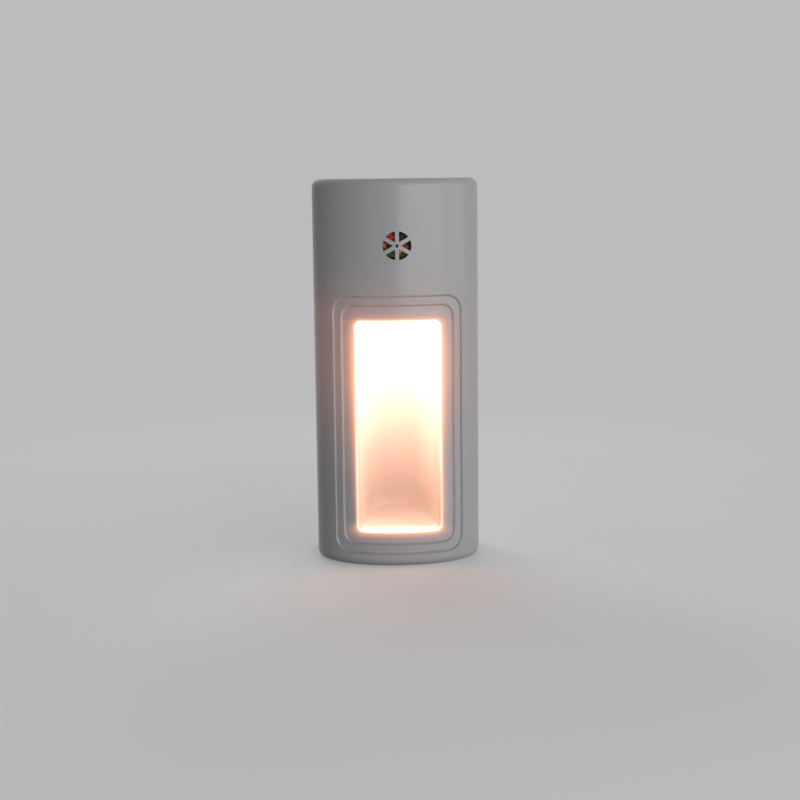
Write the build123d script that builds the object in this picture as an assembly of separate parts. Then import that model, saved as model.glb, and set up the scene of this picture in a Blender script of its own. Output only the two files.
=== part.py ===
from build123d import *
import os
from math import cos, hypot, radians, sin, sqrt

# Plug-in night light with a dusk sensor. Millimetres, +Z up.
# Origin: midway between the plug blades, on the rear face that meets the socket (y = 0).
# The lit front faces -Y and the blades point along +Y.

# ---------------------------------------------------------------- driving dimensions
WIDTH = 44.0              # case, across its straight sides
HEIGHT = 102.0
DEPTH = 30.0              # socket face to the crown of the bowed front
BOW = 15.0                # depth of the half-elliptical front
TOP_Z = 25.0              # top of the case above the plug's centre line
EDGE_R = 2.2              # rounding round the top and bottom
BACK_R = 1.0              # rounding round the socket face
WALL = 2.0
SEAM_Y = -7.0             # plane where the front cover meets the rear housing
FLOOR = 2.5               # rear housing floor

WINDOW_W, WINDOW_H = 22.9, 56.5
WINDOW_TOP = 36.6         # below the top of the case
WINDOW_R = 1.9
BEZEL_STEPS = ((33.2, 67.8, 3.8, 0.6), (28.8, 63.0, 2.8, 1.2))   # width, height, corner, depth
BEZEL_Z = TOP_Z - 64.4    # centre of both steps
BEZEL_EDGE = 0.5          # bevel along the rim of each step
ON_RIM = 0.03             # how near an edge lies to count as a step's rim
LAND = 3.2                # inner face of the thickened land round the window
GRILLE_Z = TOP_Z - 17.2
GRILLE_R = 3.7
SPOKE = 1.05

BLADE_PITCH = 12.7
BLADE_W, BLADE_T, BLADE_L = 6.35, 1.5, 17.5
BLADE_HOLE_R, BLADE_HOLE_Y = 1.6, 11.7

CLEAR = 0.15              # assembly clearance, each side
LEAD_R = 0.3              # component leads
HOLE_PLAY = 0.1           # of a lead in its board hole

# ---------------------------------------------------------------- derived places
BOTTOM_Z = TOP_Z - HEIGHT
SHOULDER_Y = BOW - DEPTH                    # where the straight sides turn into the bow
WINDOW_Z = TOP_Z - WINDOW_TOP - WINDOW_H / 2
BLADE_X = BLADE_PITCH / 2

TONGUE_T = 1.0                              # locating rim of the rear housing
TONGUE_L = 2.0
TONGUE_IN = WALL + 0.1
POST_END_Y = SEAM_Y - 2.2                   # rear screw posts meet the cover's bosses here
CASE_SCREWS = [(x, z) for x in (-15.5, 15.5) for z in (TOP_Z - 6.0, BOTTOM_Z + 5.5)]
CASE_SEAT_Y = -3.5                          # under the case screw heads

FLANGE_T = 1.2                              # diffuser flange behind the land
FLANGE_OVER = 1.6                           # how far the flange runs past the window
DIFFUSER_T = 0.8
SCOOP_Y = -17.3                             # deepest inner face of the diffuser's scoop
SCOOP_ROUND = 6.0                           # how far its walls curve in towards the back
RIM_INSET = BEZEL_STEPS[1][3] + 0.1         # front rim of the diffuser, just under the bezel
MOUTH_Y = -29.6                             # plane that the scoop is drawn from

TRAY_T = 1.2
TRAY_OVER = 0.2                             # tray past the diffuser's flange
TRAY_BACK_Y = -11.6
TRAY_SCREWS = [(-17.0, -40.0), (17.0, -40.0)]
TRAY_EAR_Y = (-16.0, -14.4)
LED_BOARD_Y = TRAY_BACK_Y - TRAY_T
LED_BOARD_T = 1.0
LED_BOARD_W, LED_BOARD_TOP, LED_BOARD_BOTTOM = 18.0, -12.2, -42.0
LED_SIZE = (3.5, 0.8, 2.8)
LED_ROWS = [(x, z) for x in (-4.5, 4.5) for z in (-17.5, -26.5, -35.5)]
STAKES_Z = (-22.0, -31.0)                   # heat-stake pins that hold the LED board

BOARD_FRONT_Y, BOARD_BACK_Y = -11.6, -10.0
BOARD_HALF_W, BOARD_TOP, BOARD_BOTTOM = 12.3, 21.5, -7.5
LEAD_TIP_Y = BOARD_BACK_Y + 1.0
BOARD_SCREWS = [(-9.6, 18.4), (9.6, 18.4)]
BOARD_REST = (0.0, -6.2)

PAD_Y = -4.0                                # face of the raised pad that carries the blades
RETAINER_Y = -6.0
RETAINER_SCREWS = [(0.0, -3.0), (0.0, 3.0)]

# component centres on the board (x, z), and the lead spans of the axial ones
FILM_CAP = (-4.2, 13.4)
FILM_CAP_PITCH = 10.0
SMOOTHING_CAP = (8.4, 11.6)
SMOOTHING_PITCH = 2.5
TRANSISTOR = (8.2, 5.6)
TRANSISTOR_PITCH = 1.27
PHOTOCELL_R, PHOTOCELL_FLAT = 3.45, 2.9     # radius, and half height over its flats
PHOTOCELL_T = 2.0
PHOTOCELL_PITCH = 3.4
PHOTOCELL_FACE_Y = -26.9
AXIAL_Y = -13.5
FUSE_RESISTOR = (0.0, 19.4, 13.0)
BLEEDER = (-7.4, 8.2, 8.4)
DIODES = [(-7.6, z, 7.4) for z in (4.9, 1.6, -1.7, -5.0)]
ZENER = (6.8, 1.4, 7.0)
BIAS_RESISTORS = [(7.0, -1.9, 8.5), (7.0, -5.2, 8.5)]
LEAD_WIRE_Z = 3.4
LED_WIRE_Z = -5.6
LED_WIRE_X = 1.3


# ---------------------------------------------------------------- shared shapes
def rod(x, z, y_from, y_to, radius):
    """A round bar parallel to Y."""
    return Pos(x, (y_from + y_to) / 2, z) * Rot(90, 0, 0) * Cylinder(radius, abs(y_to - y_from))


def rod_x(x, y, z, length, radius):
    """A round bar parallel to X, centred on the point given."""
    return Pos(x, y, z) * Rot(0, 90, 0) * Cylinder(radius, length)


def block(x_span, y_span, z_span):
    """A box between three pairs of limits."""
    spans = (x_span, y_span, z_span)
    centre = [sum(span) / 2 for span in spans]
    return Pos(*centre) * Box(*[abs(span[1] - span[0]) for span in spans])


def prism_y(profile, y_front, y_back):
    """A profile drawn in the X-Z plane, run between two depths."""
    return extrude(Plane.XZ.offset(-y_back) * profile, amount=y_back - y_front)


def rounded(width, height, radius, z):
    """A rounded rectangle centred on x = 0."""
    return Pos(0, z) * RectangleRounded(width, height, radius)


def tube(points, bend, radius):
    """A round wire along straight runs joined by arcs."""
    path = FilletPolyline(*points, radius=bend)
    return sweep(Plane(origin=path @ 0, z_dir=path % 0) * Circle(radius), path=path)


def slab(y_front, y_back):
    """Everything between two depths."""
    reach = HEIGHT
    return block((-reach, reach), (y_front, y_back), (-reach, reach))


def plan(inset):
    """Plan outline of the case, drawn in by inset: straight sides and a half-elliptical front."""
    half = WIDTH / 2 - inset
    outline = Curve() + [
        EllipticalCenterArc((0, SHOULDER_Y), half, BOW - inset, 180, arc_size=180),
        Line((half, SHOULDER_Y), (half, 0)),
        Line((half, 0), (-half, 0)),
        Line((-half, 0), (-half, SHOULDER_Y)),
    ]
    return make_face(outline)


def envelope(inset=0.0):
    """The case's outer form, drawn in by inset on every side but the back."""
    body = Pos(0, 0, BOTTOM_Z + inset) * extrude(plan(inset), amount=HEIGHT - 2 * inset)
    ends = body.faces().sort_by(Axis.Z)
    rims = [edge for end in (ends[0], ends[-1]) for edge in end.edges() if edge.center().Y < -0.01]
    return fillet(rims, max(EDGE_R - inset, 0.5))


def skin(inner, outer=0.0):
    """The layer of the case between two insets."""
    return envelope(outer) - envelope(inner)


# ---------------------------------------------------------------- case
def grille():
    """Six wedges between the spokes of the sensor grille, and the dimple in its hub."""
    wedges = Circle(GRILLE_R)
    for angle in (30, 90, 150):
        wedges -= Rot(0, 0, angle) * Rectangle(2 * GRILLE_R + 1, SPOKE)
    cut = prism_y(Pos(0, GRILLE_Z) * wedges, -DEPTH - 1, -DEPTH + WALL + 1)
    return cut + rod(0, GRILLE_Z, -DEPTH - 1, -DEPTH + 0.8, 0.4)


def bezel():
    """What the two shallow steps round the window take away."""
    cut = Part()
    for width, height, corner, depth in BEZEL_STEPS:
        cut += prism_y(rounded(width, height, corner, BEZEL_Z), -DEPTH - 1, SHOULDER_Y) & skin(depth)
    return cut


def front_y(x, inset):
    """Depth of the bowed front, drawn in by inset, at one x."""
    return SHOULDER_Y - (BOW - inset) * sqrt(1 - (x / (WIDTH / 2 - inset)) ** 2)


def off_outline(x, z, width, height, corner):
    """Distance from the outline of a bezel step, seen from the front."""
    dx = abs(x) - (width / 2 - corner)
    dz = abs(z - BEZEL_Z) - (height / 2 - corner)
    return abs(hypot(max(dx, 0), max(dz, 0)) + min(max(dx, dz), 0) - corner)


def step_rim(cover, outline, before):
    """Edges where the wall of a bezel step meets the surface before it."""
    rim = []
    for edge in cover.edges():
        points = [edge.position_at(share) for share in (0.05, 0.35, 0.65, 0.95)]
        if any(point.Y > SHOULDER_Y or off_outline(point.X, point.Z, *outline) > ON_RIM for point in points):
            continue
        if all(abs(point.Y - front_y(point.X, before)) < ON_RIM for point in points):
            rim.append(edge)
    return rim


def bevel_steps(cover):
    """Bevels the rims of the bezel's steps."""
    before = 0.0
    for width, height, corner, depth in BEZEL_STEPS:
        cover = chamfer(step_rim(cover, (width, height, corner), before), BEZEL_EDGE)
        before = depth
    return cover


def front_cover():
    """Deep bowed shell with the window, its stepped bezel, the sensor grille and the bosses."""
    land = prism_y(rounded(33.0, 66.0, 4.0, BEZEL_Z), -DEPTH, SHOULDER_Y) & skin(LAND, WALL - 0.1)
    inner = envelope(WALL - 0.5)
    cover = bevel_steps((skin(WALL) & slab(-DEPTH - 1, SEAM_Y)) + land - bezel())
    for x, z in CASE_SCREWS:
        cover += rod(x, z, -DEPTH, POST_END_Y, 2.75) & inner
    for x, z in TRAY_SCREWS:
        cover += rod(x, z, -DEPTH, TRAY_EAR_Y[0], 2.2) & inner
    cover -= prism_y(rounded(WINDOW_W, WINDOW_H, WINDOW_R, WINDOW_Z), -DEPTH - 1, SHOULDER_Y)
    cover -= grille()
    for x, z in CASE_SCREWS:
        cover -= rod(x, z, POST_END_Y - 7.3, POST_END_Y, 1.32)
    for x, z in TRAY_SCREWS:
        cover -= rod(x, z, TRAY_EAR_Y[0] - 4.9, TRAY_EAR_Y[0], 1.02)
    return cover - (skin(0.35) & slab(SEAM_Y - 0.25, SEAM_Y))


def rear_housing():
    """Shallow tray that carries the blades, the board posts and the recessed case screws."""
    shell = envelope()
    shell = fillet(shell.faces().sort_by(Axis.Y)[-1].edges(), BACK_R) & slab(SEAM_Y, 1)
    tongue = skin(TONGUE_IN + TONGUE_T, TONGUE_IN) & slab(SEAM_Y - TONGUE_L, SEAM_Y)
    housing = shell + tongue - (envelope(TONGUE_IN + TONGUE_T) & slab(-DEPTH, -FLOOR))
    housing += block((-10.5, 10.5), (PAD_Y, -FLOOR), (-6.0, 6.0))
    for x, z in CASE_SCREWS:
        housing += rod(x, z, POST_END_Y, -FLOOR, 3.1)
    for x, z in BOARD_SCREWS:
        housing += rod(x, z, BOARD_BACK_Y, -FLOOR, 2.2)
    housing += rod(*BOARD_REST, BOARD_BACK_Y, PAD_Y, 1.4)
    for x, z in CASE_SCREWS:
        housing -= rod(x, z, CASE_SEAT_Y, 1, 2.7)
        housing -= rod(x, z, POST_END_Y, CASE_SEAT_Y, 1.5)
    for x, z in BOARD_SCREWS:
        housing -= rod(x, z, BOARD_BACK_Y, -BOARD_BACK_Y / 2 + BOARD_BACK_Y + 1, 1.02)
    for x, z in RETAINER_SCREWS:
        housing -= rod(x, z, PAD_Y, -0.8, 1.02)
    for x in (-BLADE_X, BLADE_X):
        half_t = BLADE_T / 2 + CLEAR
        half_w = BLADE_W / 2 + CLEAR
        housing -= block((x - half_t, x + half_t), (PAD_Y, 1), (-half_w, half_w))
        housing -= block((x - half_t, x + half_t), (PAD_Y, PAD_Y + 1.4), (-4.35, 4.35))
    housing -= prism_y(rounded(26.0, 30.0, 1.5, -33.0), -0.3, 1)
    return housing


def case_screws():
    """Four pan-head screws that close the case from the back."""
    return [pan_screw(x, z, CASE_SEAT_Y, 2.3, 1.8, 1.3, 12.0) for x, z in CASE_SCREWS]


def pan_screw(x, z, seat_y, head_r, head_h, shank_r, length):
    """A cross-recessed screw with its head to the back and its tip to the front."""
    head = rod(x, z, seat_y, seat_y + head_h, head_r)
    head = fillet(head.edges().sort_by(Axis.Y)[-1], head_h * 0.5)
    shank = rod(x, z, seat_y - length, seat_y, shank_r)
    shank = chamfer(shank.edges().sort_by(Axis.Y)[0], shank_r * 0.6)
    top = seat_y + head_h
    arm, slot = head_r * 0.6, head_r * 0.16
    depth = (top - head_h * 0.6, top + 1)
    recess = block((x - arm, x + arm), depth, (z - slot, z + slot))
    recess += block((x - slot, x + slot), depth, (z - arm, z + arm))
    return head + shank - recess


# ---------------------------------------------------------------- light unit
def scoop(grow):
    """The scoop's hollow, or that form grown outwards: walls that curve in to a flat back."""
    depth = SCOOP_Y + grow - MOUTH_Y
    sections = []
    for angle in (0, 25, 45, 62, 77, 90):
        draw_in = SCOOP_ROUND * (1 - cos(radians(angle)))
        share = draw_in / SCOOP_ROUND
        margin = 2 * (grow - DIFFUSER_T - CLEAR - draw_in)
        corner = WINDOW_R - 0.2 + 2.3 * share + grow * 0.5 * share
        y = MOUTH_Y + depth * sin(radians(angle))
        profile = rounded(WINDOW_W + margin, WINDOW_H + margin, corner, WINDOW_Z)
        sections.append(Plane.XZ.offset(-y) * profile)
    return loft(sections)


def diffuser_window():
    """Milky scooped lens with a curved flange that sits behind the cover's land."""
    width = WINDOW_W + 2 * FLANGE_OVER
    height = WINDOW_H + 2 * FLANGE_OVER
    flange = prism_y(rounded(width, height, 3.0, WINDOW_Z), -DEPTH, SHOULDER_Y)
    flange &= skin(LAND + FLANGE_T, LAND)
    lens = scoop(DIFFUSER_T) & envelope(RIM_INSET)
    return lens + flange - scoop(0.0)


def light_tray():
    """White box that gathers the light behind the diffuser and holds the LED board."""
    width = WINDOW_W + 2 * (FLANGE_OVER + TRAY_OVER)
    height = WINDOW_H + 2 * (FLANGE_OVER + TRAY_OVER)
    outer = rounded(width, height, 3.2, WINDOW_Z)
    inner = rounded(width - 2 * TRAY_T, height - 2 * TRAY_T, 2.0, WINDOW_Z)
    tray = prism_y(outer, -DEPTH, TRAY_BACK_Y)
    for x, z in TRAY_SCREWS:
        side = width / 2 if x > 0 else -width / 2
        tray += rod(x, z, *TRAY_EAR_Y, 2.2)
        tray += block((side, x), TRAY_EAR_Y, (z - 2.2, z + 2.2))
        tray -= rod(x, z, *TRAY_EAR_Y, 1.15)
    tray -= prism_y(inner, -DEPTH, LED_BOARD_Y)
    tray &= envelope(LAND + FLANGE_T)
    for z in STAKES_Z:
        tray += rod(0, z, LED_BOARD_Y - LED_BOARD_T - 0.5, LED_BOARD_Y, 0.75)
    notch_z = (WINDOW_Z + height / 2 - TRAY_T - 0.5, WINDOW_Z + height / 2 + 1)
    return tray - block((-2.6, 2.6), (-15.6, LED_BOARD_Y), notch_z)


def tray_screws():
    """Two small screws through the tray's ears into the cover."""
    return [pan_screw(x, z, TRAY_EAR_Y[1], 1.9, 1.3, 1.0, 6.0) for x, z in TRAY_SCREWS]


def led_board():
    """White board with two heat-stake holes."""
    half = LED_BOARD_W / 2
    board = block((-half, half), (LED_BOARD_Y - LED_BOARD_T, LED_BOARD_Y), (LED_BOARD_BOTTOM, LED_BOARD_TOP))
    board = fillet(board.edges().filter_by(Axis.Y), 1.0)
    for z in STAKES_Z:
        board -= rod(0, z, LED_BOARD_Y - LED_BOARD_T, LED_BOARD_Y, 0.8)
    return board


def leds():
    """Six surface-mount LEDs, each a small block with a shallow phosphor well."""
    width, thick, height = LED_SIZE
    back = LED_BOARD_Y - LED_BOARD_T
    chips = []
    for x, z in LED_ROWS:
        chip = block((x - width / 2, x + width / 2), (back - thick, back), (z - height / 2, z + height / 2))
        well = Pos(x, z) * RectangleRounded(width - 0.9, height - 0.8, 0.4)
        chips.append(chip - prism_y(well, back - thick, back - thick + 0.2))
    return chips


def led_wire(x):
    """Insulated wire from the main board down to the LED board."""
    radius = 0.5
    y = LED_BOARD_Y - LED_BOARD_T - radius - 0.05
    points = [(x, BOARD_FRONT_Y, LED_WIRE_Z), (x, y, LED_WIRE_Z), (x, y, LED_BOARD_TOP - 1.4)]
    return tube(points, 1.2, radius)


# ---------------------------------------------------------------- plug
def blade(x):
    """Flat plug blade with a shoulder that locks it in the housing and a tab for its wire."""
    half_t, half_w = BLADE_T / 2, BLADE_W / 2
    tongue = block((x - half_t, x + half_t), (PAD_Y, BLADE_L), (-half_w, half_w))
    tip = tongue.faces().sort_by(Axis.Y)[-1].edges()
    tongue = chamfer(tip, 0.55)
    tongue += block((x - half_t, x + half_t), (PAD_Y, PAD_Y + 1.4), (-4.2, 4.2))
    tongue += block((x - half_t, x + half_t), (PAD_Y - 4.0, PAD_Y), (-2.0, 2.0))
    return tongue - rod_x(x, BLADE_HOLE_Y, 0, 2 * BLADE_T, BLADE_HOLE_R)


def blade_retainer():
    """Plate screwed over the blades' shoulders."""
    plate = block((-9.9, 9.9), (RETAINER_Y, PAD_Y), (-4.4, 4.4))
    plate = fillet(plate.edges().filter_by(Axis.Y), 1.2)
    for x in (-BLADE_X, BLADE_X):
        half_t = BLADE_T / 2 + CLEAR
        plate -= block((x - half_t, x + half_t), (RETAINER_Y, PAD_Y), (-2.0 - CLEAR, 2.0 + CLEAR))
    for x, z in RETAINER_SCREWS:
        plate -= rod(x, z, RETAINER_Y, PAD_Y, 1.15)
    return plate


def forward_screw(x, z, seat_y, head_r, head_h, shank_r, length):
    """The same screw turned round: head to the front, tip to the back."""
    return mirror(pan_screw(x, z, -seat_y, head_r, head_h, shank_r, length), Plane.XZ)


def retainer_screws():
    """Two screws that hold the blade retainer down."""
    return [forward_screw(x, z, RETAINER_Y, 1.45, 1.1, 1.0, 5.0) for x, z in RETAINER_SCREWS]


def mains_wire(side):
    """Insulated wire from a blade's tab up to the back of the board."""
    radius = 0.7
    x = side * (BLADE_X + BLADE_T / 2 + radius + 0.05)
    y = PAD_Y - 2.9
    return tube([(x, y, -1.6), (x, y, LEAD_WIRE_Z), (x, BOARD_BACK_Y, LEAD_WIRE_Z)], 1.5, radius)


# ---------------------------------------------------------------- electronics
def radial_leads(x, z, y, pitch, count=2, radius=LEAD_R):
    """Straight leads from a component down through the board."""
    first = x - pitch * (count - 1) / 2
    return [rod(first + i * pitch, z, y, LEAD_TIP_Y, radius) for i in range(count)]


def axial(x, z, span, body_r, body_l, cap_r=0.0):
    """An axial component lying along X, with both leads bent down into the board."""
    left, right = x - span / 2, x + span / 2
    points = [(left, LEAD_TIP_Y, z), (left, AXIAL_Y, z), (right, AXIAL_Y, z), (right, LEAD_TIP_Y, z)]
    part = tube(points, 0.7, LEAD_R) + rod_x(x, AXIAL_Y, z, body_l, body_r)
    if cap_r:
        cap_l = body_l * 0.26
        for end in (-1, 1):
            part += rod_x(x + end * (body_l - cap_l) / 2, AXIAL_Y, z, cap_l, cap_r)
    return part


def lead_points():
    """Every lead hole of the board, as (x, z)."""
    points = []
    for x, z, span in [FUSE_RESISTOR, BLEEDER, ZENER] + DIODES + BIAS_RESISTORS:
        points += [(x - span / 2, z), (x + span / 2, z)]
    radial = [(FILM_CAP, FILM_CAP_PITCH), (SMOOTHING_CAP, SMOOTHING_PITCH), ((0.0, GRILLE_Z), PHOTOCELL_PITCH)]
    for (x, z), pitch in radial:
        points += [(x - pitch / 2, z), (x + pitch / 2, z)]
    points += [(TRANSISTOR[0] + i * TRANSISTOR_PITCH, TRANSISTOR[1]) for i in (-1, 0, 1)]
    return points


def main_board():
    """Circuit board behind the sensor, with a hole for every lead."""
    half = BOARD_HALF_W
    board = block((-half, half), (BOARD_FRONT_Y, BOARD_BACK_Y), (BOARD_BOTTOM, BOARD_TOP))
    board = fillet(board.edges().filter_by(Axis.Y), 1.5)
    for x, z in lead_points():
        board -= rod(x, z, BOARD_FRONT_Y, BOARD_BACK_Y, LEAD_R + HOLE_PLAY)
    for x, z in BOARD_SCREWS:
        board -= rod(x, z, BOARD_FRONT_Y, BOARD_BACK_Y, 1.15)
    return board


def board_screws():
    """Two screws that hold the board to its posts."""
    return [forward_screw(x, z, BOARD_FRONT_Y, 1.9, 1.3, 1.0, 5.0) for x, z in BOARD_SCREWS]


def photocell():
    """Light-dependent resistor behind the grille: a disc with two flats."""
    disc = rod(0, GRILLE_Z, PHOTOCELL_FACE_Y, PHOTOCELL_FACE_Y + PHOTOCELL_T, PHOTOCELL_R)
    flats = (GRILLE_Z - PHOTOCELL_FLAT, GRILLE_Z + PHOTOCELL_FLAT)
    return disc & block((-PHOTOCELL_R, PHOTOCELL_R), (-DEPTH, 0), flats)


def photocell_leads():
    """The two wires that stand the photocell off the board."""
    return radial_leads(0.0, GRILLE_Z, PHOTOCELL_FACE_Y + PHOTOCELL_T, PHOTOCELL_PITCH)


def film_capacitor():
    """Dipped film capacitor that drops the mains voltage."""
    x, z = FILM_CAP
    body = block((x - 7.4, x + 7.4), (-24.4, -12.2), (z - 3.1, z + 3.1))
    body = fillet(body.edges(), 1.6)
    for lead in radial_leads(x, z, -12.6, FILM_CAP_PITCH):
        body += lead
    return body


def smoothing_capacitor():
    """Electrolytic can with its crimp groove."""
    x, z = SMOOTHING_CAP
    radius = 3.1
    can = rod(x, z, -23.0, -11.9, radius)
    can = fillet(can.edges(), 0.5)
    groove = rod(x, z, -14.2, -13.4, radius) - rod(x, z, -14.2, -13.4, radius - 0.3)
    can -= groove
    for lead in radial_leads(x, z, -12.4, SMOOTHING_PITCH):
        can += lead
    return can


def transistor():
    """Three-lead switch in a D-shaped moulding."""
    x, z = TRANSISTOR
    body = rod(x, z, -18.6, -13.6, 2.3) & block((x - 3, x + 3), (-19, -13), (z - 1.3, z + 3))
    for lead in radial_leads(x, z, -14.0, TRANSISTOR_PITCH, 3, 0.25):
        body += lead
    return body


def rectifier_diodes():
    """Four diodes of the bridge."""
    return [axial(x, z, span, 1.3, 4.4) for x, z, span in DIODES]


def bias_resistors():
    """Two quarter-watt resistors that set the switching point."""
    return [axial(x, z, span, 0.95, 5.8, 1.15) for x, z, span in BIAS_RESISTORS]


# ---------------------------------------------------------------- nodes
def nodes():
    """Every piece of the lamp by name."""
    return {
        "front_cover": front_cover(),
        "rear_housing": rear_housing(),
        "case_screws": case_screws(),
        "diffuser_window": diffuser_window(),
        "light_tray": light_tray(),
        "tray_screws": tray_screws(),
        "led_board": led_board(),
        "leds": leds(),
        "led_wire_positive": led_wire(LED_WIRE_X),
        "led_wire_negative": led_wire(-LED_WIRE_X),
        "blade_left": blade(-BLADE_X),
        "blade_right": blade(BLADE_X),
        "blade_retainer": blade_retainer(),
        "retainer_screws": retainer_screws(),
        "live_wire": mains_wire(-1),
        "neutral_wire": mains_wire(1),
        "main_board": main_board(),
        "board_screws": board_screws(),
        "photocell": photocell(),
        "photocell_leads": photocell_leads(),
        "film_capacitor": film_capacitor(),
        "smoothing_capacitor": smoothing_capacitor(),
        "transistor": transistor(),
        "rectifier_diodes": rectifier_diodes(),
        "zener_diode": axial(*ZENER, 0.95, 3.6),
        "fuse_resistor": axial(*FUSE_RESISTOR, 1.5, 9.0, 1.75),
        "bleeder_resistor": axial(*BLEEDER, 0.95, 5.8, 1.15),
        "bias_resistors": bias_resistors(),
    }


os.makedirs("parts", exist_ok=True)
for name, shape in nodes().items():
    if isinstance(shape, list):
        shape = Compound(children=[piece.solid() for piece in shape])
    export_step(shape, f"parts/{name}.step")
    print(f"{name:22s} {shape.volume:10.2f}")
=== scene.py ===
"""Finishes, glow and studio for the plug-in night light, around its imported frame.

Metres, +Z up, the lit front faces -Y. Every material is procedural and works in object space.
"""
from math import cos, pi, radians, sin, sqrt

import bpy
from mathutils import Euler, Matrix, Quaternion, Vector


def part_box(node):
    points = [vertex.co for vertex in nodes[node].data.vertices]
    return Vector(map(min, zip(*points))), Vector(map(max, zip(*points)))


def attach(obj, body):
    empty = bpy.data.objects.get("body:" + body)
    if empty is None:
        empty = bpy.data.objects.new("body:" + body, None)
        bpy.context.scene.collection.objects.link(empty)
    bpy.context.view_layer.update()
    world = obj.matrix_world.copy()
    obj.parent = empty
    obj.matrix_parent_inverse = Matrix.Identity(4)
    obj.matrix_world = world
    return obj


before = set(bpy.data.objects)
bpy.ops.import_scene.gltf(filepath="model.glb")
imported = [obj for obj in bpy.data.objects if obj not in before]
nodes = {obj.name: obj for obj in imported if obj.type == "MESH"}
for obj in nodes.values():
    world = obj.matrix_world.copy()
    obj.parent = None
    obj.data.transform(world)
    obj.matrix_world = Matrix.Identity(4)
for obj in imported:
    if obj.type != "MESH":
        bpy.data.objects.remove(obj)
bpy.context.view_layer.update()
BODY = "root"                                # the lamp's one rigid body
MM = 0.001

# ---------------------------------------------------------------- places read from the frame
case_low, case_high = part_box("front_cover")
window_low, window_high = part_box("diffuser_window")
cell_low, cell_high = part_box("photocell")
cell_middle = (cell_low + cell_high) / 2
FLANGE_OVER = 1.6 * MM                       # the lens's hidden flange runs this far past the window
BASE_Z = case_low.z
TOP_Z = case_high.z
FRONT_Y = case_low.y
HALF_WIDTH = case_high.x
WINDOW_X = window_high.x - FLANGE_OVER       # half width of the window
WINDOW_LOW = window_low.z + FLANGE_OVER
WINDOW_HIGH = window_high.z - FLANGE_OVER
WINDOW_MID = (WINDOW_LOW + WINDOW_HIGH) / 2
WINDOW_HALF_H = (WINDOW_HIGH - WINDOW_LOW) / 2
WINDOW_R = 1.9 * MM                          # corner radius of the window
BOW = 15 * MM                                # depth of the half-elliptical front
SHOULDER_Y = -15 * MM                        # where the straight sides turn into the bow
RIM_INSET = 1.3 * MM                         # the lens's front ring lies this far under the bow
SCOOP_Y = -17.3 * MM                         # deepest face of the lens
SCOOP_DEPTH = SCOOP_Y - (FRONT_Y + RIM_INSET)

# ---------------------------------------------------------------- camera
CAMERA_LENS = 68.02                          # focal length and sensor width, in mm
CAMERA_SENSOR = 36.0
CAMERA_NEAR = 10 * MM
CAMERA_AHEAD = 390 * MM                      # in front of the crown, level with the top of the case
CAMERA_LEFT = 12 * MM
CAMERA_PITCH = -8.345                        # degrees
CAMERA_YAW = -1.81
CAMERA_ROLL = -0.66


def make_camera():
    data = bpy.data.cameras.new("camera")
    data.lens = CAMERA_LENS
    data.sensor_width = CAMERA_SENSOR
    data.clip_start = CAMERA_NEAR
    camera = bpy.data.objects.new("camera", data)
    bpy.context.scene.collection.objects.link(camera)
    camera.location = (-CAMERA_LEFT, FRONT_Y - CAMERA_AHEAD, TOP_Z)
    aim = Euler((radians(90 + CAMERA_PITCH), 0, radians(CAMERA_YAW))).to_quaternion()
    camera.rotation_mode = "QUATERNION"
    camera.rotation_quaternion = aim @ Quaternion((0, 0, 1), radians(CAMERA_ROLL))
    bpy.context.scene.camera = camera


# ---------------------------------------------------------------- node helpers
# The limits of a smooth step are kept as (from, to), which runs from 0 to 1, or as (from, to, value
# at from, value at to).
NOISE_MID = (0.3, 0.7)                       # spans that take in the middle of a noise, or nearly all of it
NOISE_WIDE = (0.2, 0.8)


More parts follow.
